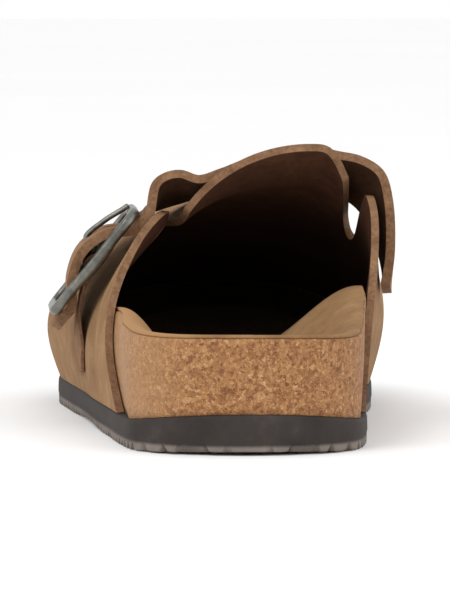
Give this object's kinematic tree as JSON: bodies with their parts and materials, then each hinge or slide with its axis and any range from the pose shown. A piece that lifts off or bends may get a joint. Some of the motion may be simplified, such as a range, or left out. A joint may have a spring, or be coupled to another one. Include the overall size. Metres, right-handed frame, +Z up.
{
  "type": "clog",
  "caption": "Left clog with a closed suede upper, a buckled instep strap, a moulded cork footbed and a thin treaded rubber sole.",
  "frame": {"origin": "on the floor, at the middle of the heel's flat contact patch", "axes": "+Y from the heel to the toe, +X to the inner side of the foot, +Z up; the shoe stands on its sole"},
  "size_m": [0.1102, 0.2823, 0.0894],
  "materials": {
    "sole_rubber": "matt foam rubber, near black",
    "cork": "fine grained cork with dark and pale specks, clear sealed",
    "lining_suede": "tan suede lining",
    "upper_suede": "taupe brown suede with a short nap",
    "strap_suede": "taupe brown suede with darker cut edges",
    "buckle_metal": "dark grey metal, softly polished"
  },
  "bodies": {
    "root": {"outsole": "sole_rubber", "footbed": "cork", "insole": "lining_suede", "upper": "upper_suede", "strap": "strap_suede", "buckle_frame": "buckle_metal", "buckle_bar": "buckle_metal", "buckle_prong": "buckle_metal", "buckle_tab": "strap_suede"}
  },
  "joints": []
}
